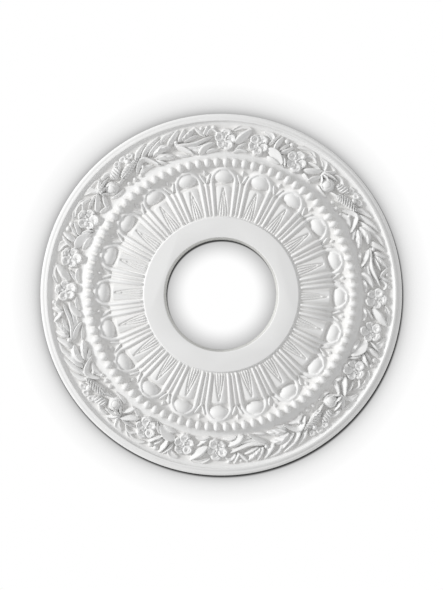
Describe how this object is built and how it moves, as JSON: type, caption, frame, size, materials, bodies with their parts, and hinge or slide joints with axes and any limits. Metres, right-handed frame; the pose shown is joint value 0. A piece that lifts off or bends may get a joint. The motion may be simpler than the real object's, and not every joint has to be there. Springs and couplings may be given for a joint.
{
  "type": "ceiling rose",
  "caption": "Round moulded ceiling rose with a central hole, flat collar, radiating tongues, a ring of beads, a frieze of flowers and leaves and a stepped rim.",
  "frame": {"origin": "centre of the cable hole in the plane of the flat back, which goes against the ceiling", "axes": "+Z out of the carved face, away from the ceiling; +Y to the top of the picture, +X to its right"},
  "size_m": [0.4064, 0.4064, 0.0275],
  "materials": {
    "rose_face": "matt white primed polyurethane, as moulded, with a faint grain"
  },
  "bodies": {
    "root": {"ceiling_rose": "rose_face"}
  },
  "joints": []
}
